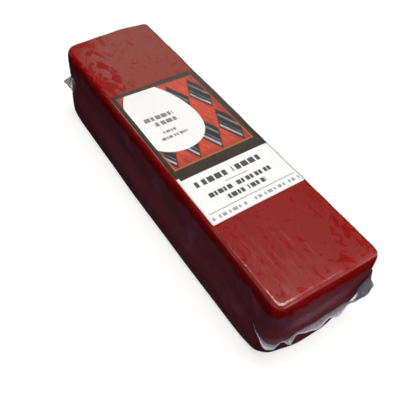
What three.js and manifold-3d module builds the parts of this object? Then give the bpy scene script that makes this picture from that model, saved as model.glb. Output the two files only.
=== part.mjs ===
// A bar of cheddar dipped in red wax, lying on its base: the waxed bar, a printed paper label
// bent over its top edges, and a clear film bag drawn tight around both, with a flattened and
// ruffled fin where the bag closes at each end.
// Millimetres, +Z up. The bar lies along Y and the origin is in the middle of the base.
import * as THREE from "three";
import { mergeVertices } from "three/addons/utils/BufferGeometryUtils.js";
import Module from "manifold-3d";

// Waxed bar
const barWidth = 41.2;
const barLength = 153;
const barHeight = 35.1;
const topEdgeRadius = 2.4;
const footEdgeRadius = 4.6;
const endEdgeRadius = 2.1;

// Paper label
const labelLength = 74;
const labelThickness = 0.1;
const labelMiddle = -3.6; // its middle along Y
const labelBend = 45; // degrees that it turns down over each top edge

// Film bag
const filmWall = 0.2;
const clearance = 0.1; // between the bar, the label and the film
const finHeight = 16.5; // of the fins' middle above the base
const finReach = 4.6; // beyond the end of the bag
const finSlot = 0.3; // between the two layers of a fin, open at its mouth
const earReach = 3.8; // of a fin beyond each side of the bag
const earLength = 7; // of a fin's corner along the side of the bag
const ruffleHeight = 0.9; // either side of the fin's middle
const ruffleCount = 4.5; // waves across a fin

// Fineness of the round stretches
const arcSteps = 6;
const ribbonSteps = 54;

// What follows from them
const filmInside = clearance + labelThickness + clearance; // from the wax to the film
const filmOutside = filmInside + filmWall;
const endRound = Math.min(endEdgeRadius, 0.9 * topEdgeRadius, 0.9 * footEdgeRadius);
const bagHalfWidth = barWidth / 2 + filmOutside;
const bagHalfLength = barLength / 2 + filmOutside;
const finHalfWidth = bagHalfWidth + earReach;
const ruffleLength = (2 * finHalfWidth) / ruffleCount;

const wasm = await Module();
wasm.setup();

function solidFrom(geometry) {
  geometry.deleteAttribute("normal");
  geometry.deleteAttribute("uv");
  const merged = mergeVertices(geometry, 1e-4);
  return new wasm.Manifold(
    new wasm.Mesh({
      numProp: 3,
      vertProperties: merged.attributes.position.array,
      triVerts: new Uint32Array(merged.index.array),
    }),
  );
}

function geometryFrom(solid) {
  const mesh = solid.getMesh();
  const geometry = new THREE.BufferGeometry();
  geometry.setAttribute("position", new THREE.BufferAttribute(mesh.vertProperties, 3));
  geometry.setIndex(new THREE.BufferAttribute(mesh.triVerts, 1));
  geometry.computeVertexNormals();
  return geometry;
}

// Turns a shape drawn across the bar and pushed out along Z so that it runs along Y.
function layAlongY(geometry, length, middle) {
  return geometry.translate(0, 0, -length / 2).rotateX(Math.PI / 2).translate(0, middle, 0);
}

// The bar's cross-section, less the round of its end edges on every side.
function barCore() {
  const side = barWidth / 2 - endRound;
  const foot = filmOutside + endRound;
  const top = filmOutside + barHeight - endRound;
  const footRadius = footEdgeRadius - endRound;
  const topRadius = topEdgeRadius - endRound;
  const core = new THREE.Shape();
  core.absarc(side - footRadius, foot + footRadius, footRadius, -Math.PI / 2, 0);
  core.absarc(side - topRadius, top - topRadius, topRadius, 0, Math.PI / 2);
  core.absarc(-side + topRadius, top - topRadius, topRadius, Math.PI / 2, Math.PI);
  core.absarc(-side + footRadius, foot + footRadius, footRadius, Math.PI, 1.5 * Math.PI);
  core.closePath();
  return core;
}

// The bar, with every face moved out by grow: 0 for the wax, more for the film around it.
function barGeometry(grow) {
  const length = barLength - 2 * endRound;
  const geometry = new THREE.ExtrudeGeometry(barCore(), {
    depth: length,
    bevelEnabled: true,
    bevelThickness: endRound + grow,
    bevelSize: endRound + grow,
    bevelSegments: arcSteps,
    curveSegments: arcSteps,
  });
  return layAlongY(geometry, length, 0);
}

// A strip of paper that lies on the top of the bar and bends over both of its top edges.
function labelGeometry() {
  const inner = topEdgeRadius + clearance;
  const outer = inner + labelThickness;
  const side = barWidth / 2 - topEdgeRadius;
  const top = filmOutside + barHeight - topEdgeRadius;
  const upright = Math.PI / 2;
  const bend = THREE.MathUtils.degToRad(labelBend);
  const strip = new THREE.Shape();
  strip.absarc(side, top, outer, upright - bend, upright);
  strip.absarc(-side, top, outer, upright, upright + bend);
  strip.absarc(-side, top, inner, upright + bend, upright, true);
  strip.absarc(side, top, inner, upright, upright - bend, true);
  strip.closePath();
  const geometry = new THREE.ExtrudeGeometry(strip, {
    depth: labelLength,
    bevelEnabled: false,
    curveSegments: arcSteps,
  });
  return layAlongY(geometry, labelLength, labelMiddle);
}

// A ruffled ribbon across the near end of the bag, centred on the fin's height.
function ribbon(thickness) {
  const upper = [];
  const lower = [];
  for (let step = 0; step <= ribbonSteps; step++) {
    const x = THREE.MathUtils.lerp(-finHalfWidth, finHalfWidth, step / ribbonSteps);
    const z = finHeight + ruffleHeight * Math.sin((2 * Math.PI * x) / ruffleLength);
    upper.push(new THREE.Vector2(x, z + thickness / 2));
    lower.push(new THREE.Vector2(x, z - thickness / 2));
  }
  const length = 2 * (earLength + finReach);
  const geometry = new THREE.ExtrudeGeometry(new THREE.Shape(lower.concat(upper.reverse())), {
    depth: length,
    bevelEnabled: false,
  });
  return solidFrom(layAlongY(geometry, length, -bagHalfLength));
}

// A fin's outline seen from above, with its two ears: inset moves the ears' edges in, and
// extra moves the mouth out.
function finOutline(inset, extra) {
  const rootX = barWidth / 2;
  const tipX = finHalfWidth - inset;
  const mouthX = tipX - 0.25 * earReach;
  const rootY = earLength - bagHalfLength - 2 * inset;
  const tipY = 0.2 * earLength - bagHalfLength;
  const mouthY = -bagHalfLength - finReach - extra;
  const outline = new THREE.Shape();
  outline.moveTo(-rootX, rootY);
  outline.lineTo(-tipX, tipY);
  outline.lineTo(-mouthX, mouthY);
  outline.lineTo(mouthX, mouthY);
  outline.lineTo(tipX, tipY);
  outline.lineTo(rootX, rootY);
  outline.closePath();
  const height = 4 * (ruffleHeight + filmWall + finSlot);
  const geometry = new THREE.ExtrudeGeometry(outline, { depth: height, bevelEnabled: false });
  return solidFrom(geometry.translate(0, 0, finHeight - height / 2));
}

// The bag: its skin with a fin at each end, less the room for the bar and the fins' slots.
function bagGeometry() {
  const fin = ribbon(finSlot + 2 * filmWall).intersect(finOutline(0, 0));
  const slot = ribbon(finSlot).intersect(finOutline(filmWall, 1));
  const bag = solidFrom(barGeometry(filmOutside))
    .add(fin)
    .add(fin.rotate([0, 0, 180]))
    .subtract(solidFrom(barGeometry(filmInside)))
    .subtract(slot)
    .subtract(slot.rotate([0, 0, 180]));
  return geometryFrom(bag);
}

function piece(name, geometry, material) {
  const mesh = new THREE.Mesh(geometry, new THREE.MeshStandardMaterial(material));
  mesh.name = name;
  return mesh;
}

const waxedCheese = new THREE.Group();
waxedCheese.add(
  piece("waxed_cheese_bar", barGeometry(0), { color: 0x8e1a1c, roughness: 0.35, metalness: 0 }),
  piece("paper_label", labelGeometry(), { color: 0xf2f0ec, roughness: 0.5, metalness: 0 }),
  piece("film_bag", bagGeometry(), {
    color: 0xf4f4f6,
    roughness: 0.08,
    metalness: 0,
    transparent: true,
    opacity: 0.25,
  }),
);

export default waxedCheese;
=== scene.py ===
import bmesh
import bpy
import math
from mathutils import Matrix, Vector, noise


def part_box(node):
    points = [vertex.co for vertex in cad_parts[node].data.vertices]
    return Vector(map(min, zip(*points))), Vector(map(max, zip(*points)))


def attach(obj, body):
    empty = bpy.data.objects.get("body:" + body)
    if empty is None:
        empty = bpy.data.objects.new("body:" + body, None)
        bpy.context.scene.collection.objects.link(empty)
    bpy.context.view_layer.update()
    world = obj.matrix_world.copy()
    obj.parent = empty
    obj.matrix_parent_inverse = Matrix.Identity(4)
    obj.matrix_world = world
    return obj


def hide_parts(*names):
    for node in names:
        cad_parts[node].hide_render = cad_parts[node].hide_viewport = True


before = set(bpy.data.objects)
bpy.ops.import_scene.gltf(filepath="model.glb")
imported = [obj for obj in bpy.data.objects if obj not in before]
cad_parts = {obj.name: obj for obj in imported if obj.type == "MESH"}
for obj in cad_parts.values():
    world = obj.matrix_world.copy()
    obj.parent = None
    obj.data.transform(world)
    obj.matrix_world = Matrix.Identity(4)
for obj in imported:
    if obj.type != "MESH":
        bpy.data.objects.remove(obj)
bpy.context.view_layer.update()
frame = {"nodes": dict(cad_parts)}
print("frame loaded:", ", ".join(frame["nodes"]))

mm = 0.001  # sizes are in millimetres, but where they are said to be in metres


def boxInMm(node):
    low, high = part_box(node)
    return low / mm, high / mm


# small tools

def smooth(value, low, high):
    # 0 up to low, 1 from high on, with a soft start and end; low may be the larger one
    part = min(1, max(0, (value - low) / (high - low)))
    return part * part * (3 - 2 * part)


def blend(first, second, part):
    return first + (second - first) * part


def sign(value):
    return -1 if value < 0 else 1


def wobble(x, y, z, size, seed=0.0):
    # even noise from -1 to 1 whose lumps are about size wide
    return noise.noise(Vector((x / size + seed, y / size - 2 * seed, z / size + 0.5 * seed)))


def stations(low, high, step, edges):
    # where a box is cut along one axis: close together near its two ends
    cuts = [low + e for e in edges] + [high - e for e in edges]
    first, last = low + edges[-1], high - edges[-1]
    count = round((last - first) / step)
    cuts += [first + (last - first) * i / count for i in range(1, count)]
    return sorted(cuts)


def griddedBox(low, high, cutsX, cutsY, cutsZ):
    bm = bmesh.new()
    bmesh.ops.create_cube(bm, size=1)
    bmesh.ops.scale(bm, vec=high - low, verts=bm.verts)
    bmesh.ops.translate(bm, vec=(low + high) / 2, verts=bm.verts)
    for axis, cuts in ((1, cutsY), (2, cutsZ), (0, cutsX)):
        for cut in cuts:
            place, normal = Vector(), Vector()
            place[axis], normal[axis] = cut, 1
            everything = bm.verts[:] + bm.edges[:] + bm.faces[:]
            bmesh.ops.bisect_plane(bm, geom=everything, dist=1e-5, plane_co=place, plane_no=normal)
    return bm


def finishPiece(bm, name, material, node):
    # from millimetres to a smooth object in metres that stands for its CAD node
    bmesh.ops.scale(bm, vec=(mm, mm, mm), verts=bm.verts)
    for face in bm.faces:
        face.smooth = True
    mesh = bpy.data.meshes.new(name)
    bm.to_mesh(mesh)
    bm.free()
    mesh.materials.append(material)
    piece = bpy.data.objects.new(name, mesh)
    bpy.context.scene.collection.objects.link(piece)
    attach(piece, "root")
    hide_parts(node)
    return piece


# material tools

class Wire:
    # one output in a material's node tree, which sums and products can be written with

    def __init__(self, tree, socket=None):
        self.tree = tree
        self.socket = socket

    def node(self, kind, settings=None, sockets=None, output=0):
        made = self.tree.nodes.new("ShaderNode" + kind)
        for name, value in (settings or {}).items():
            setattr(made, name, value)
        for name, value in (sockets or {}).items():
            if isinstance(value, Wire):
                self.tree.links.new(value.socket, made.inputs[name])
            else:
                made.inputs[name].default_value = value
        return Wire(self.tree, made.outputs[output] if made.outputs else None)

    def maths(self, operation, first, second=0.0):
        return self.node("Math", {"operation": operation}, {0: first, 1: second})

    def __add__(self, other):
        return self.maths("ADD", self, other)

    def __radd__(self, other):
        return self.maths("ADD", other, self)

    def __sub__(self, other):
        return self.maths("SUBTRACT", self, other)

    def __rsub__(self, other):
        return self.maths("SUBTRACT", other, self)

    def __mul__(self, other):
        return self.maths("MULTIPLY", self, other)

    def __rmul__(self, other):
        return self.maths("MULTIPLY", other, self)

    def __truediv__(self, other):
        return self.maths("DIVIDE", self, other)

    def __abs__(self):
        return self.maths("ABSOLUTE", self)

    def offset(self, span):
        # distance from the nearest whole multiple of span, below 0 before it
        return self - self.maths("ROUND", self / span) * span

    def least(self, other):
        return self.maths("MINIMUM", self, other)

    def most(self, other):
        return self.maths("MAXIMUM", self, other)

    def rise(self, low, high):
        # 0 at low, 1 at high, clamped
        sockets = {"Value": self, "From Min": low, "From Max": high}
        return self.node("MapRange", {"interpolation_type": "SMOOTHSTEP"}, sockets)

    def between(self, low, high, soft=0.12):
        return self.rise(low - soft, low + soft) * self.rise(high + soft, high - soft)

    def colour(self, first, second):
        # first where this mask is 0, second where it is 1
        sockets = {0: self, 6: first, 7: second}
        return self.node("Mix", {"data_type": "RGBA"}, sockets, output=2)

    def parts(self):
        split = self.node("SeparateXYZ", sockets={0: self})
        outputs = split.socket.node.outputs
        return [Wire(self.tree, outputs[i]) for i in range(3)]

    def stretched(self, x, y, z):
        return self.node("VectorMath", {"operation": "MULTIPLY"}, {0: self, 1: (x, y, z)})

    def distance(self, point):
        return self.node("VectorMath", {"operation": "DISTANCE"}, {0: self, 1: point}, output=1)

    def noise(self, scale, detail=2.0, roughness=0.5, distortion=0.0):
        sockets = {
            "Vector": self, "Scale": scale, "Detail": detail,
            "Roughness": roughness, "Distortion": distortion,
        }
        return self.node("TexNoise", sockets=sockets)


def newMaterial(name):
    material = bpy.data.materials.new(name)
    material.use_nodes = True
    material.node_tree.nodes.clear()
    tree = Wire(material.node_tree)
    place = tree.node("TexCoord", output=3).stretched(1 / mm, 1 / mm, 1 / mm)  # object space, in mm
    return material, tree, place


def rgb(red, green, blue):
    # a display colour of 0 to 255 as the linear colour that the shaders take
    linear = [(c / 255 + 0.055) / 1.055 for c in (red, green, blue)]
    return tuple(c ** 2.4 for c in linear) + (1.0,)


def endMaterial(shader):
    shader.node("OutputMaterial", sockets={"Surface": shader})


# the shape that all pieces follow

barLow, barHigh = boxInMm("waxed_cheese_bar")
bagLow, bagHigh = boxInMm("film_bag")

form = {
    "topRound": (1.25, 3.4),   # of the top edges: in from the wall, and down it
    "footRound": (2.2, 2.6),
    "footCornerRound": (5.0, 5.0),  # of the foot near each corner
    "footCornerReach": 13,
    # of the four upright edges, at the foot and at the top, and the heights between them
    "cornerRounds": {
        (-1, -1): (5, 3), (1, -1): (5, 2.5), (-1, 1): (6, 6.5), (1, 1): (4.5, 2.8),
    },
    "cornerHeights": (4, 28),
    # in each pair of places below, the shape starts at the first and is full at the second
    "footBulge": 1.3,             # of the left side
    "bulgeMiddle": 14,            # along the bar
    "bulgeLength": 190,
    "bulgeHeights": (22, 8),
    "endBulge": 0.5,              # of each end, in the middle
    "endDepth": 15,               # of what shapes each end, along the bar
    "footSetbacks": {-1: 2.2, 1: 2.6},  # of the near end's foot, at its left and right corner
    "setbackAcross": (4, 20),     # out from the middle
    "setbackAlong": (-52, -76),
    "setbackHeights": (15, 0),
    "cornerDrop": 0.9,            # of the top at its far left corner
    "dropAcross": (4, -19),
    "dropAlong": (45, 76),
    "dropHeights": (15, 34),
    "lumpHeight": 0.16,
    "lumpSize": 17,
    "lumpMiddle": 0.45,           # of the lumps' noise, so that most of them are hollows
    "lumpHeights": (12, 30),
    "edgeLumpHeight": 0.2,
    "edgeLumpSize": 9,
    "edgeLumpMiddle": 0.5,
    "edgeLumpHeights": (26, 34),
}


def rounded(point, low, high, grow):
    # takes a point on the box low-high to the same place on the box with its edges rounded;
    # also gives the direction that is outwards in plan, and how far in from the walls it is
    sideX, sideY = sign(point.x), sign(point.y)
    halfX, halfY = (high.x - low.x) / 2, (high.y - low.y) / 2
    upward = smooth(point.z, *form["cornerHeights"])
    cornerRound = blend(*form["cornerRounds"][sideX, sideY], upward) + grow
    insetX, insetY = halfX - abs(point.x), halfY - abs(point.y)
    inset = min(insetX, insetY)
    outward = Vector((sideX, 0, 0)) if insetX < insetY else Vector((0, sideY, 0))
    plan = Vector((point.x, point.y, 0))
    spanX, spanY = cornerRound - insetX, cornerRound - insetY
    if spanX > 0 and spanY > 0:
        outward = Vector((spanX * sideX, spanY * sideY, 0)).normalized()
        centre = Vector((sideX * (halfX - cornerRound), sideY * (halfY - cornerRound), 0))
        plan = centre + outward * max(spanX, spanY)
    isTop = point.z > (low.z + high.z) / 2
    rounds = form["topRound"]
    if not isTop:
        part = smooth(max(insetX, insetY), form["footCornerReach"], 0)
        rounds = [blend(a, b, part) for a, b in zip(form["footRound"], form["footCornerRound"])]
    roundIn, roundDown = [size + grow for size in rounds]
    drop = high.z - point.z if isTop else point.z - low.z
    if inset < roundIn and drop < roundDown:
        arc = Vector(((roundIn - inset) / roundIn, (roundDown - drop) / roundDown)).normalized()
        plan -= outward * (roundIn * (1 - arc.x) - inset)
        drop = roundDown * (1 - arc.y)
    z = high.z - drop if isTop else low.z + drop
    return Vector((plan.x, plan.y, z)), outward, inset


def settled(point):
    # the hand-dipped bar is not quite true: bulges, slow lumps, and more of them along its edges
    x, y, z = point
    side, end = barHigh.x, barHigh.y
    moved = point.copy()

    bulge = math.cos(math.pi * (y - form["bulgeMiddle"]) / form["bulgeLength"])
    bulge *= smooth(x, -0.4 * side, -side) * smooth(z, *form["bulgeHeights"])
    moved.x -= form["footBulge"] * bulge

    endward = smooth(abs(y), end - form["endDepth"], end)
    upright = smooth(z, 2, 8) * smooth(z, 36, 28)
    bulge = math.cos(0.45 * math.pi * x / side) * (0.35 + 0.65 * upright)
    moved.y += sign(y) * form["endBulge"] * endward * bulge

    setback = smooth(abs(x), *form["setbackAcross"]) * smooth(y, *form["setbackAlong"])
    setback *= smooth(z, *form["setbackHeights"])
    moved.y += form["footSetbacks"][sign(x)] * setback

    drop = smooth(x, *form["dropAcross"]) * smooth(y, *form["dropAlong"])
    moved.z -= form["cornerDrop"] * drop * smooth(z, *form["dropHeights"])

    atEdge = max(smooth(abs(x), side - 6, side), endward) * smooth(z, *form["edgeLumpHeights"])
    slow = wobble(x, y, z, form["lumpSize"], 3.1) - form["lumpMiddle"]
    quick = wobble(x, y, z, form["edgeLumpSize"], 7.7) - form["edgeLumpMiddle"]
    lump = form["lumpHeight"] * slow + form["edgeLumpHeight"] * atEdge * quick
    moved.z += lump * smooth(z, *form["lumpHeights"])
    moved.x += sign(x) * lump * smooth(abs(x), 0.4 * side, side)
    moved.y += sign(y) * lump * endward
    return moved


# the waxed bar

barSettings = {
    "step": 2.4,
    "edges": (0.5, 1.0, 1.5, 2.1, 2.9, 3.8, 5.0),
    "grow": 0.34,     # so that the wax all but touches its thin film
    "gloss": 0.35,
    "deepRed": rgb(137, 22, 19),
    "wetRed": rgb(146, 8, 5),
    "hazyRed": rgb(142, 32, 28),
}


def wetPatches(place):
    # where the film clings to the wax: streaks and spots, most of them in the far left corner,
    # along the left edge, inside the right edge near the front, and along the front edge; most
    # places are so far in from the bar's sides and ends
    x, y, z = place.parts()
    side, end, top = barHigh
    onTop = z.rise(top - 4, top - 1)
    farLeft = x.rise(-2, 5.6 - side) * y.rise(18, 50) * 1.15
    leftEdge = x.rise(7.6 - side, 1.6 - side) * 0.6
    rightEdge = x.rise(side - 8.6, side - 3.6) * y.rise(-30, -60) * 0.6
    frontEdge = y.rise(10.5 - end, 1.5 - end) * 0.6
    likely = farLeft.most(leftEdge).most(rightEdge).most(frontEdge)
    streaks = place.stretched(1, 0.45, 1).noise(0.22, 3, 0.55, 1.7)
    spots = place.noise(0.6, 2, 0.5, 0.8)
    wet = (streaks + likely * 0.13).rise(0.6, 0.66) * (likely * 0.35 + 0.65)
    wet = wet.most((spots + likely * 0.05).rise(0.65, 0.71) * 0.8)
    # one blister with a wet rim
    rim = place.distance((side - 9.1, 11.5 - end, top)).between(1.2, 2.2, 0.35)
    wet = wet.most(rim * streaks.rise(0.4, 0.5) * 0.7)
    wet = wet * (onTop * 0.8 + 0.2)
    # it is tight, and so clings, all along just below the top edges
    ragged = z + (streaks - 0.5) * 9
    below = ragged.rise(top - 6.5, top - 4) * z.rise(top + 0.1, top - 0.7)
    return wet.most(below * (spots.rise(0.3, 0.5) * 0.3 + 0.7))


def waxMaterial():
    s = barSettings
    material, tree, place = newMaterial("redWax")
    wet = wetPatches(place)
    cloud = place.noise(0.045, 3, 0.5)
    fine = place.noise(1.6, 3, 0.6)
    haze = cloud.rise(0.3, 0.7) * 0.5 + 0.5
    base = haze.colour(s["deepRed"], s["hazyRed"])
    base = (fine.rise(0.35, 0.75) * 0.35).colour(base, s["deepRed"])
    height = cloud * 0.3 + fine * 0.04 + place.noise(0.35, 3, 0.6) * 0.12
    bump = tree.node("Bump", sockets={"Strength": 0.35, "Distance": 0.0006, "Height": height})
    dry = tree.node("BsdfPrincipled", sockets={
        "Base Color": base, "Roughness": s["gloss"] + fine * 0.12, "Normal": bump,
        "Specular IOR Level": 0.3,
    })
    clinging = tree.node("BsdfPrincipled", sockets={
        "Base Color": s["wetRed"], "Roughness": 0.3, "Normal": bump, "Specular IOR Level": 0.05,
    })
    endMaterial(tree.node("MixShader", sockets={0: wet, 1: dry, 2: clinging}))
    return material


def makeBar():
    s = barSettings
    grow = Vector((1, 1, 1)) * s["grow"]
    low, high = barLow - grow, barHigh + grow
    cuts = [stations(low[i], high[i], s["step"], s["edges"]) for i in range(3)]
    bm = griddedBox(low, high, *cuts)
    for vert in bm.verts:
        vert.co = settled(rounded(vert.co, low, high, s["grow"])[0])
    bar = finishPiece(bm, "waxedCheeseBar", waxMaterial(), "waxed_cheese_bar")
    finer = bar.modifiers.new("finer", "SUBSURF")
    finer.levels = finer.render_levels = 1
    print("waxed bar made")


# the paper label

labelLow, labelHigh = boxInMm("paper_label")

labelSettings = {
    "columns": 40,
    "rows": 60,
    "thickness": 0.05,
    "lift": 0.38,         # of its underside above the bar's own size
    "bend": 12,           # degrees round each top edge
    "overEdge": 0.35,     # of its width beyond the flat top on each side
    "cornerCut": 0.4,
    "skew": 0.028,        # of its two ends
    "white": rgb(246, 247, 248),
    "frame": rgb(52, 43, 37),
    "charcoal": rgb(34, 38, 42),
    "orange": rgb(218, 78, 50),
    "rust": rgb(168, 58, 44),
    "glow": rgb(240, 140, 104),
    "olive": rgb(128, 62, 44),
    "outline": rgb(56, 30, 28),
    "paperEdgeHighlight": rgb(206, 150, 148),
    "gold": rgb(176, 112, 62),
    "ink": rgb(30, 28, 30),
    "greyInk": rgb(84, 80, 80),
    "shine": rgb(200, 196, 205),
    "wornFrame": rgb(84, 72, 64),
    "fleck": rgb(190, 186, 184),
    # the places of what is printed: x across the label, y along it
    "slope": 0.033,                # of the lower print against the label's ends
    "picture": (-17.7, 16.9, -13.9, 31),  # left, right, bottom, top
    "lineWidth": 0.75,             # inside the picture's edge
    "lozengeMiddle": (3.6, 18.9),
    "lozengeSize": (9.7, 21.8),
    "ovalMiddle": (-7.4, 14.5),
    "ovalReach": (13, 21),
    "ovalTaper": 0.012,
    "panelTop": -18.8,
    "stepCorner": (-18.3, -17.3),  # of the panel, at its top left
    "rim": 19.35,                  # where the painted pink highlight along the paper's edge starts, either side
    # lines of plain blocks: left, right, bottom, top, how far apart, their gaps, a wider space
    "smallLines": [
        (-14.5, -2.2, 12.8, 15, 2.4, 0.55, None),
        (-12, -2, 9.2, 11.4, 2.5, 0.55, None),
        (-11.4, -5.2, 4.6, 5.9, 1.5, 0.5, None),
        (-13.4, -2.6, 1.4, 2.8, 1.5, 0.5, None),
    ],
    "bigLines": [
        (-16, 13, -24.4, -21.8, 2.9, 0.85, (-2.2, 0.2)),
        (-13.6, 13.2, -30.4, -28.4, 1.9, 0.5, (-4.2, -2.6)),
        (-8.6, 7.8, -34, -32, 2, 0.5, (-1.4, 0.2)),
    ],
    "footLine": (-18.6, 18.6, -39.1, -37.7, 2.1, 1, (-4.4, -2.6)),
    "rules": [(-5, 4.5, -26.7, -26.4), (-18, 18, -36.2, -35.9)],
}


def blocksInLine(x, y, line):
    # a row of plain blocks that stands for a line of print
    left, right, bottom, top, pitch, gap, space = line
    inside = x.between(left, right, 0.1) * y.between(bottom, top, 0.12)
    uneven = x + x.maths("SINE", x * 1.7) * 0.35 - left
    blocks = abs(uneven.offset(pitch)).rise(gap / 2 - 0.1, gap / 2 + 0.1)
    if space:
        blocks = blocks * (1 - x.between(*space, 0.1))
    return inside * blocks


def blocksInLines(x, y, lines):
    marks = blocksInLine(x, y, lines[0])
    for line in lines[1:]:
        marks = marks.most(blocksInLine(x, y, line))
    return marks


def harlequin(tree, x, y):
    # brushed charcoal lozenges with dark outlines on orange
    s = labelSettings
    (middleX, middleY), (width, height) = s["lozengeMiddle"], s["lozengeSize"]
    u = (x - middleX).offset(width) / (width / 2)
    v = (y - middleY).offset(height) / (height / 2)
    lozenge = abs(u) + abs(v)
    charcoal = lozenge.rise(0.91, 0.88)
    outline = lozenge.between(0.9, 0.97, 0.03)
    # the brush strokes run along the lozenges' sides
    slant = tree.node("CombineXYZ", sockets={0: x / 5 + y / 11, 1: (x / 5 - y / 11) * 0.16, 2: 0.0})
    strokes = slant.noise(3.4, 3, 0.65)
    wavy = u + v + (slant.noise(1.1, 1, 0.5) - 0.5) * 0.4
    shine = wavy.between(-0.74, -0.54, 0.06).most(wavy.between(-0.34, -0.28, 0.05) * 0.6)
    shine = shine.most(wavy.between(0.3, 0.5, 0.1) * 0.45) * lozenge.rise(0.9, 0.8)
    shine = shine * strokes.rise(0.34, 0.52)
    dark = (shine * 0.9).colour(s["charcoal"], s["shine"])
    warm = slant.noise(7, 2, 0.5).rise(0.35, 0.7).colour(s["orange"], s["rust"])
    warm = (slant.noise(2.2, 2, 0.6).rise(0.62, 0.76) * 0.5).colour(warm, s["glow"])
    left, right, bottom, top = s["picture"]
    shaded = x.rise(right - 3.9, right - 0.9).most(y.rise(bottom + 4.9, bottom + 0.9) * 0.6)
    warm = (shaded * 0.75).colour(warm, s["olive"])
    return (outline * 0.8).colour(charcoal.colour(warm, dark), s["outline"])


def printedPicture(tree, x, y):
    # the harlequin with a plain white oval, cut off by the frame, and a thin line round it all;
    # also where it is
    s = labelSettings
    (middleX, middleY), (reachX, reachY) = s["ovalMiddle"], s["ovalReach"]
    along = (y - middleY) / reachY
    across = (x - middleX) / reachX * (1 + (y - middleY) * s["ovalTaper"])
    oval = (along * along + across * across).rise(1.02, 0.98)
    art = oval.colour(harlequin(tree, x, y), s["white"])
    left, right, bottom, top = s["picture"]
    edge = (x - left).least(right - x).least(y - bottom).least(top - y)
    line = edge.between(0.0, s["lineWidth"], 0.15) * (1 - oval)
    art = (line * 0.75).colour(art, y.rise(0, -12).colour(s["rust"], s["gold"]))
    return art, edge.rise(-0.1, 0.1)


def labelMaterial():
    s = labelSettings
    material, tree, place = newMaterial("labelPaper")
    x, straightY, z = place.parts()
    y = straightY - x * (s["slope"] * straightY.rise(33, -16))

    # the picture in its dark frame, and the white panel, which has a step at its top left
    art, picture = printedPicture(tree, x, y)
    stepX, stepY = s["stepCorner"]
    panel = y.rise(s["panelTop"] + 0.1, s["panelTop"] - 0.1)
    panel = panel.most(x.rise(stepX + 0.1, stepX - 0.1) * y.rise(stepY + 0.1, stepY - 0.1))
    grain = place.noise(2.5, 3, 0.6)
    frameColour = (grain.rise(0.3, 0.8) * 0.25).colour(s["frame"], s["wornFrame"])
    ground = picture.colour(panel.colour(frameColour, s["white"]), art)
    # a painted pink highlight along both edges of the paper
    rim = abs(x).rise(s["rim"] - 0.1, s["rim"] + 0.1)
    ground = (rim * 0.8).colour(ground, s["paperEdgeHighlight"])

    # print on the oval and on the panel
    marks = blocksInLines(x, y, s["smallLines"])
    heading = blocksInLines(x, y, s["bigLines"])
    rules = blocksInLine(x, y, s["footLine"]) * 0.8
    for left, right, bottom, top in s["rules"]:
        rules = rules.most(x.between(left, right) * y.between(bottom, top, 0.06))
    ground = (marks * 0.75).colour(ground, s["ink"])
    ground = (heading * 0.92).colour(ground, s["ink"])
    ground = (rules * 0.8).colour(ground, s["greyInk"])
    ground = (grain.rise(0.45, 0.8) * 0.04).colour(ground, s["fleck"])

    height = grain * 0.5 + place.noise(0.5, 2, 0.5)
    bump = tree.node("Bump", sockets={"Strength": 0.15, "Distance": 0.0002, "Height": height})
    endMaterial(tree.node("BsdfPrincipled", sockets={
        "Base Color": ground, "Roughness": 0.42 + grain * 0.1, "Normal": bump,
        "Specular IOR Level": 0.3,
    }))
    return material


def makeLabel():
    s = labelSettings
    roundIn, roundDown = [size + s["lift"] for size in form["topRound"]]
    flat = barHigh.x - form["topRound"][0]
    bend = math.radians(s["bend"])
    halfWidth = flat + s["overEdge"]
    bm = bmesh.new()
    bmesh.ops.create_grid(bm, x_segments=s["columns"], y_segments=s["rows"], size=0.5)
    bmesh.ops.scale(bm, vec=(2 * halfWidth, labelHigh.y - labelLow.y, 1), verts=bm.verts)
    middle = (labelLow.y + labelHigh.y) / 2
    for vert in bm.verts:
        across, along = vert.co.x, vert.co.y
        # soften the four corners
        awayX = max(0, abs(across) - halfWidth + s["cornerCut"])
        awayY = max(0, abs(along) - (labelHigh.y - labelLow.y) / 2 + s["cornerCut"])
        if awayX > 0 and awayY > 0:
            shorten = 1 - max(awayX, awayY) / math.hypot(awayX, awayY)
            across -= sign(across) * awayX * shorten
            along -= sign(along) * awayY * shorten
        turn = max(0, abs(across) - flat) / s["overEdge"] * bend
        x = across if turn == 0 else sign(across) * (flat + roundIn * math.sin(turn))
        z = barHigh.z + s["lift"] - roundDown * (1 - math.cos(turn))
        vert.co = settled(Vector((x, middle + along + s["skew"] * x, z)))
    bmesh.ops.recalc_face_normals(bm, faces=bm.faces)
    label = finishPiece(bm, "paperLabel", labelMaterial(), "paper_label")
    thick = label.modifiers.new("thickness", "SOLIDIFY")
    thick.thickness = s["thickness"] * mm
    thick.offset = 1
    print("label made")


# the film bag

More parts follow.
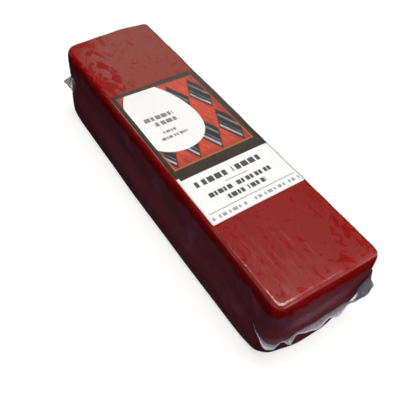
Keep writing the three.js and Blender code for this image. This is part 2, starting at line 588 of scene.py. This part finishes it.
bagSettings = {
    "grow": 0.48,          # of the film's outside beyond the bar's own size
    "wall": 0.03,
    "step": 1.15,
    "edges": (0.45, 0.95, 1.5, 2.1, 2.9, 3.8),
    "rippleHeight": 0.05,
    "finHeight": 16.5,
    "finHalf": 0.22,       # half the fin's thickness where it starts
    "finParts": 4,
    "cornerTravel": 20,    # how far round a fin the bar's corners are, either side
    "earLength": 9,        # of the fin along each side, from the end
    # each fin from its left ear to its right ear: how far round, then how far out, and how far
    # up or down
    "nearFin": [
        (-29, 0, 0), (-24.5, 1.2, 0.4), (-21, 2.9, -1.2), (-18.4, 1.9, -2.8), (-16.2, 1.2, 0.6),
        (-13.4, 2.5, -2.6), (-11, 1.5, 0.5), (-7, 2.4, -0.3), (-3, 3.0, -1.3), (1, 2.4, 0.4),
        (5, 3.1, -1.0), (9.5, 2.3, 0.9), (13.5, 2.6, -0.4), (17, 2.3, 0.7), (20.5, 4.1, 0.3),
        (24.5, 2.6, 0.8), (29, 0, 0),
    ],
    "farFin": [
        (-29, 0, 0), (-25, 1.8, 1.4), (-21.5, 4.0, 1.0), (-17, 2.7, 1.2), (-12, 3.9, -1.2),
        (-7, 2.5, 0.7), (-3, 3.6, -0.6), (2, 2.6, 0.9), (6, 3.9, -0.9), (11, 2.6, 0.8),
        (16, 3.4, -1.1), (21, 5.4, 0.3), (25, 2.6, -0.6), (29, 0, 0),
    ],
    # how far the film stands off a corner beside the fin, and how far above and below the fin
    "webs": {
        (-1, -1): (1.1, 7, 5), (1, -1): (3.3, 16, 8), (-1, 1): (2.0, 9, 10), (1, 1): (2.8, 12, 8),
    },
    "middleWeb": (0.6, 5, 4),
    "webAcross": (7, 20),  # from where the middle's web turns into a corner's, across an end
    # how milky the tight film is, partly its own haze and partly painted sheen, shade and highlight
    "nearHazeAndSheen": 0.001,     # of the veil over the near end of the top, partly painted sheen
    "farHazeAndSheen": 0.036,      # and over its far end, paler there as painted reflection
    "wallHazeAndSheen": 0.032,
    "blotchHazeAndSheen": 0.035,   # and more in blotches over the walls; the walls' veil is partly painted bluish sheen
    "threadGlint": 0.024,   # of the painted glints along the fine lengthwise wrinkles over the near end
    "crestHighlight": 0.32,     # of the painted pink highlight on the crumpled film over the top edges
    "shadeHaze": 0.86,     # of the right ear of the near fin, which is in the shade
    "dulled": 0.85,        # how much less the film mirrors where it is slack or crumpled
    # in each pair of places below, it starts at the first and is full at the second
    "shadeAcross": (12.5, 15.5),
    "shadeAlong": (-60, -70),
    "dulledAcross": (-18, -12),
    "dulledAlong": (-72.6, -74),
    "hazeAndSheenAlong": (-45, 70),        # from the near end's veil to the far end's
    "hazeAndSheenThinned": (-13, -19),     # towards the left edge
    "threadsAcross": (9, -2),
    "threadsAlong": (-40, -58),
    # where the painted highlight over the top edges lies, how strong it is by the corners, and how
    # wide its breaks are
    "highlightNearEdge": (-70, -76),
    "highlightNearCorner": (-25, -52),
    "highlightFarCorner": (66, 74),
    "cornerHighlight": 0.35,         # as much as at the near edge
    "highlightBreakSize": 3.5,
    # colours of the veil, partly painted sheen: warm on top and bluish on the walls; then the milky
    # fins, the painted shade on the right ear, the painted highlight over the top edges, and the
    # fins' creases
    "topHazeAndSheen": rgb(230, 214, 196),
    "wallHazeAndSheenColour": rgb(196, 176, 228),
    "hazeColour": rgb(160, 149, 165),
    "dimHaze": rgb(116, 110, 124),
    "crestHighlightColour": rgb(240, 150, 152),
    "creaseColour": rgb(232, 226, 238),
}


def filmMaterial():
    s = bagSettings
    material, tree, place = newMaterial("clearFilm")
    haze = tree.node("Attribute", {"attribute_name": "haze"}, output=2)
    creaseAndHighlight = tree.node("Attribute", {"attribute_name": "creaseAndHighlight"}, output=2)
    slack = tree.node("Attribute", {"attribute_name": "slack"}, output=2)
    x, y, z = place.parts()
    onWalls = z.rise(barHigh.z - 0.3, barHigh.z - 3)
    shaded = x.rise(*s["shadeAcross"]) * y.rise(*s["shadeAlong"])

    # the milky film's colour: paler in its creases, dim in the right ear of the near fin as painted
    # shade, and where it is tight a faint veil, partly its own haze and partly painted sheen, pink
    # over the top edges as a painted highlight
    lines = place.stretched(1, 1, 2.2).noise(0.55, 3, 0.6, 1.2)
    thread = abs(lines - 0.5).rise(0.035, 0.0)
    light = (thread * haze).most(creaseAndHighlight)
    milky = light.colour(shaded.colour(s["hazeColour"], s["dimHaze"]), s["creaseColour"])
    hazeAndSheenColour = onWalls.colour(s["topHazeAndSheen"], s["wallHazeAndSheenColour"])
    hazeAndSheenColour = creaseAndHighlight.rise(0, 0.08).colour(hazeAndSheenColour, s["crestHighlightColour"])
    colour = haze.rise(0, 0.1).colour(hazeAndSheenColour, milky)
    dents = place.stretched(1, 0.25, 1).noise(0.5, 2, 0.5)
    bump = tree.node("Bump", sockets={"Strength": 0.25, "Distance": 0.0003, "Height": dents})
    milk = tree.node("BsdfPrincipled", sockets={
        "Base Color": colour, "Roughness": 0.3, "Specular IOR Level": 0.5, "Normal": bump,
    })

    # the clear film, which mirrors more where it is seen at a slant
    mirror = tree.node("BsdfGlossy", sockets={
        "Color": (0.9, 0.9, 0.92, 1), "Roughness": 0.11, "Normal": bump,
    })
    clear = tree.node("BsdfTransparent", sockets={"Color": (0.985, 0.985, 0.985, 1)})
    grazing = tree.node("LayerWeight", sockets={"Blend": 0.5, "Normal": bump}, output=1)
    reflected = tree.maths("POWER", grazing, 5.0) * 0.96 + 0.04
    # less where the slack film would mirror the fin below it, and along the crumpled near edge
    nearEdge = y.rise(*s["dulledAlong"]) * x.rise(*s["dulledAcross"])
    reflected = reflected * (1 - slack * s["dulled"]) * (1 - nearEdge * s["dulled"])
    film = tree.node("MixShader", sockets={0: reflected, 1: clear, 2: mirror})

    # how much of the milk covers the clear film
    cover = (haze * (0.6 + lines * 0.6)).most(light * 0.85)
    cover = cover.most(shaded * haze.rise(0.03, 0.14) * s["shadeHaze"])
    # painted reflection: the veil over the top grows towards the far end and thins towards the left
    # edge
    topHazeAndSheen = y.rise(*s["hazeAndSheenAlong"]) * (s["farHazeAndSheen"] - s["nearHazeAndSheen"]) + s["nearHazeAndSheen"]
    topHazeAndSheen = topHazeAndSheen * (1 - x.rise(*s["hazeAndSheenThinned"]) * 0.6)
    blotches = place.noise(0.11, 2, 0.5, 0.6).rise(0.54, 0.68) * s["blotchHazeAndSheen"]
    # on the walls the veil is bluish, partly painted sheen that lightens the dark sides, in
    # blotches, and thinner where the film is slack
    hazeAndSheen = onWalls * (1 - slack) * (blotches + s["wallHazeAndSheen"]) + (1 - onWalls) * topHazeAndSheen
    cover = cover.most((1 - wetPatches(place) * 0.95) * hazeAndSheen)
    # painted glints: pale lines along the fine lengthwise wrinkles over the near end of the top
    threads = place.stretched(1, 0.07, 1).noise(0.9, 2, 0.5).between(0.56, 0.6, 0.02)
    threads = threads * y.rise(*s["threadsAlong"]) * x.rise(*s["threadsAcross"]) * (1 - onWalls)
    cover = cover.most(threads * s["threadGlint"])
    endMaterial(tree.node("MixShader", sockets={0: cover, 1: film, 2: milk}))
    return material


def alongFin(points, travel):
    # the reach and the droop of a fin at one place round the end
    for (start, *first), (end, *second) in zip(points, points[1:]):
        if travel <= end:
            part = smooth(travel, start, end)
            return [blend(a, b, part) for a, b in zip(first, second)]
    return [0, 0]


def crestShare(inset, drop, grow):
    # 1 on the upper half of the rounded top edges, 0 off them
    roundIn, roundDown = [size + grow for size in form["topRound"]]
    if inset > roundIn or drop > roundDown:
        return 0
    arc = Vector(((roundIn - inset) / roundIn, (roundDown - drop) / roundDown)).normalized()
    return smooth(arc.y, 0.7, 0.8) * smooth(arc.y, 0.96, 0.82)


def crumpledHighlight(point, outward):
    # how much painted highlight the crumpled film over a top edge gets: along the near one, and
    # where the left one nears a corner
    s = bagSettings
    x, y, z = point
    along = smooth(y, *s["highlightNearEdge"])
    if outward.x < -0.5:
        along = smooth(y, *s["highlightNearCorner"]) + smooth(y, *s["highlightFarCorner"])
        along *= s["cornerHighlight"]
    return along * (0.3 + 0.7 * smooth(wobble(x, y, z, s["highlightBreakSize"], 2.2), -0.3, 0.3))


def drawnOut(point, outward, grid, out, back, halfWidth):
    # where a wall's point goes beside the fin or, as out nears 1, towards the fin's rim; also how
    # milky, how creased and how far off the wax the film is there
    s = bagSettings
    start = corner = smooth(back, s["earLength"], 0)
    travel = sign(grid.x) * (s["cornerTravel"] + back)
    if back < 1e-4:       # on the end itself
        start, corner = 1, smooth(abs(grid.x), *s["webAcross"])
        travel = grid.x * s["cornerTravel"] / halfWidth
    reach, droop = alongFin(s["nearFin"] if grid.y < 0 else s["farFin"], travel)
    web = s["webs"][sign(grid.x), sign(grid.y)]
    stand, above, below = [blend(a, b, corner) for a, b in zip(s["middleWeb"], web)]
    away = grid.z - s["finHeight"]
    rest = max(0, 1 - abs(away) / (above if away > 0 else below))
    flare = stand * start * rest ** 2.2
    moved = point + outward * (flare + max(0, reach - stand * start) * out)
    moved.z += droop * (0.3 * rest ** 3 + 0.7 * out ** 1.3)
    moved.z -= s["finHalf"] * sign(away) * 0.5 * out      # thinner towards its rim
    loose = smooth(flare, 0.2, 1.7) * corner ** 2
    atLeft = smooth(travel, -14, -18) if grid.y < 0 else 0
    return moved, {
        "haze": max(0.8 * out ** 0.5 * start, 0.62 * loose, 0.1 * rest ** 4 * start),
        "creaseAndHighlight": start * blend(0.75, 0.95, atLeft) * smooth(out, 0.7 - 0.4 * atLeft, 1),
        "slack": smooth(flare, 0, 0.35) * (1 - out),
    }


def bagPoint(grid, out, low, high):
    # where a point of the gridded box goes, how milky and how creased it is, how much painted
    # highlight it has, and how far off the wax it is
    s = bagSettings
    point, outward, inset = rounded(grid, low, high, s["grow"])
    state = {"haze": 0.0, "creaseAndHighlight": 0.0, "slack": 0.0}
    # a painted highlight along the upper part of the rounded top edges, where the film is crumpled
    crest = crestShare(inset, high.z - grid.z, s["grow"])
    crest *= s["crestHighlight"] * crumpledHighlight(point, outward)
    point = settled(point)
    back = high.y - abs(grid.y)               # how far along the side from the end
    if inset < 1e-4 and back < s["earLength"]:
        point, state = drawnOut(point, outward, grid, out, back, high.x)
    state["creaseAndHighlight"] = max(state["creaseAndHighlight"], crest)
    point += (Vector((0, 0, 1)) if inset > 0.5 else outward) * ripple(point) * (1 - out)
    return point, state


def ripple(point):
    # shallow creases in the tight film: along the bar on top, and puckers over the top edges,
    # each from noise that is stretched along its creases
    x, y, z = point
    s = bagSettings
    sideward = smooth(abs(x), barHigh.x - 5, barHigh.x - 1) * smooth(z, 20, 34)
    endward = smooth(abs(y), barHigh.y - 8, barHigh.y - 2) * smooth(z, 20, 34)
    lengthwise = max(0, wobble(x, y * 0.07, 0, 1.1, 1.7)) * smooth(y, -30, -62)
    pucker = max(0, wobble(x * 1.6, y * 0.6, z * 0.5, 1.9, 5.3)) * endward
    sidePucker = max(0, wobble(x * 0.7, y, z * 0.6, 2.2, 8.2)) * sideward
    crumple = max(0, wobble(x, y, z, 2.6, 4.4)) * sideward * endward
    return s["rippleHeight"] * (lengthwise + 1.4 * pucker + 1.4 * sidePucker + 3 * crumple)


def makeBag():
    s = bagSettings
    grow = s["grow"]
    low = Vector((barLow.x - grow, barLow.y - grow, bagLow.z))
    high = Vector((barHigh.x + grow, barHigh.y + grow, barHigh.z + grow))
    cuts = [stations(low[i], high[i], s["step"], s["edges"]) for i in range(3)]
    finLow, finHigh = s["finHeight"] - s["finHalf"], s["finHeight"] + s["finHalf"]
    cuts[2] = [z for z in cuts[2] if not finLow - 0.3 < z < finHigh + 0.3]
    cuts[2] = sorted(cuts[2] + [finLow - 0.5, finLow, finHigh, finHigh + 0.5])
    bm = griddedBox(low, high, *cuts)
    layers = {name: bm.verts.layers.float.new(name) for name in ("out", "haze", "creaseAndHighlight", "slack")}

    def inFin(face):
        centre = face.calc_center_median()
        onWall = abs(face.normal.z) < 0.5
        return onWall and finLow < centre.z < finHigh and high.y - abs(centre.y) < s["earLength"]

    bm.normal_update()
    strip = [face for face in bm.faces if inFin(face)]
    for part in range(1, s["finParts"] + 1):
        drawn = bmesh.ops.extrude_face_region(bm, geom=strip)
        strip = [g for g in drawn["geom"] if isinstance(g, bmesh.types.BMFace)]
        for vert in {v for face in strip for v in face.verts}:
            vert[layers["out"]] = part / s["finParts"]
    for vert in bm.verts:
        point, state = bagPoint(vert.co, vert[layers["out"]], low, high)
        for name, value in state.items():
            vert[layers[name]] = value
        for axis in range(3):
            point[axis] = min(bagHigh[axis], max(bagLow[axis], point[axis]))
        vert.co = point
    bmesh.ops.recalc_face_normals(bm, faces=bm.faces)
    bag = finishPiece(bm, "filmBag", filmMaterial(), "film_bag")
    wall = bag.modifiers.new("wall", "SOLIDIFY")
    wall.thickness = s["wall"] * mm
    wall.offset = -1
    print("film bag made")


makeBar()
makeLabel()
makeBag()

# camera, floor and lights

cameraSettings = {
    "place": (-0.08342, -0.12360, 0.16546),  # in metres
    "forward": (0.389, 0.525, -0.757),
    "right": (0.838, -0.543, 0.054),
    "lens": 45.45,
}


def makeCamera():
    s = cameraSettings
    camera = bpy.data.cameras.new("camera")
    camera.lens = s["lens"]
    camera.sensor_width = 36
    holder = bpy.data.objects.new("camera", camera)
    bpy.context.scene.collection.objects.link(holder)
    forward = Vector(s["forward"]).normalized()
    right = Vector(s["right"])
    right = (right - forward * right.dot(forward)).normalized()
    up = right.cross(forward)
    turn = Matrix((right, up, -forward)).transposed()
    holder.matrix_world = Matrix.Translation(s["place"]) @ turn.to_4x4()
    bpy.context.scene.camera = holder
    print("camera placed")


lightSettings = [
    # name, direction from the object, width, height, turn in degrees, brightness; in metres
    ("softbox", (0.08, -0.14, 0.985), 1.02, 1.02, 45, 5.3),
    ("backPanel", (0.34, 0.80, 0.46), 0.8, 0.8, 0, 0.14),
    ("endFill", (0.50, -0.85, 0.12), 1.1, 0.7, 0, 0.4),
    ("frontStrip", (0.52, -0.44, 0.73), 0.16, 0.5, 0, 1.1),
    ("crestStrip", (-0.24, 0.36, 0.90), 0.16, 0.3, 0, 1.3),
]
lightDistance = 1.2
lightColour = (1, 0.985, 0.955)
roomColour = (1, 0.97, 0.98, 1)
roomBrightness = 0.21


def makeLights():
    for name, direction, width, height, turn, brightness in lightSettings:
        lamp = bpy.data.lights.new(name, "AREA")
        lamp.shape = "RECTANGLE"
        lamp.size = width
        lamp.size_y = height
        lamp.energy = brightness * math.pi * width * height
        lamp.color = lightColour
        holder = bpy.data.objects.new(name, lamp)
        bpy.context.scene.collection.objects.link(holder)
        towards = Vector(direction).normalized()
        holder.location = towards * lightDistance
        roll = Matrix.Rotation(math.radians(turn), 3, "Z")
        holder.rotation_euler = (towards.to_track_quat("Z", "Y").to_matrix() @ roll).to_euler()
    world = bpy.data.worlds.new("dimRoom")
    world.use_nodes = True
    background = world.node_tree.nodes["Background"]
    background.inputs["Color"].default_value = roomColour
    background.inputs["Strength"].default_value = roomBrightness
    world.cycles_visibility.glossy = False
    bpy.context.scene.world = world
    bpy.context.scene.view_settings.view_transform = "Standard"
    print("lights placed")


stageSettings = {
    "reach": 8,        # in metres
    "floorDrop": 0.2,  # in millimetres, so that the floor is clear of the film
    "surfaces": {"floor": ((0.4, 0.4, 0.4, 1), 0.68), "backdrop": ((0, 0, 0, 1), 1.0)},
}


def makeStage():
    # a pale floor, and a pale dome over it, each with its own colour and glow
    s = stageSettings
    for name, (colour, glow) in s["surfaces"].items():
        material, tree, place = newMaterial("pale" + name.capitalize())
        shader = tree.node("BsdfPrincipled", sockets={
            "Base Color": colour, "Roughness": 0.9, "Specular IOR Level": 0.0,
            "Emission Color": (1, 1, 1, 1), "Emission Strength": glow,
        })
        endMaterial(shader)
        bm = bmesh.new()
        if name == "floor":
            bmesh.ops.create_grid(bm, x_segments=8, y_segments=8, size=s["reach"])
            bmesh.ops.translate(bm, vec=(0, 0, -s["floorDrop"] * mm), verts=bm.verts)
        else:
            bmesh.ops.create_icosphere(bm, subdivisions=4, radius=s["reach"])
        mesh = bpy.data.meshes.new(name)
        bm.to_mesh(mesh)
        bm.free()
        mesh.materials.append(material)
        surface = bpy.data.objects.new(name, mesh)
        bpy.context.scene.collection.objects.link(surface)
        surface.visible_diffuse = False
        surface.visible_glossy = False
        surface.visible_shadow = name == "floor"
    print("floor and backdrop made")


makeCamera()
makeLights()
makeStage()
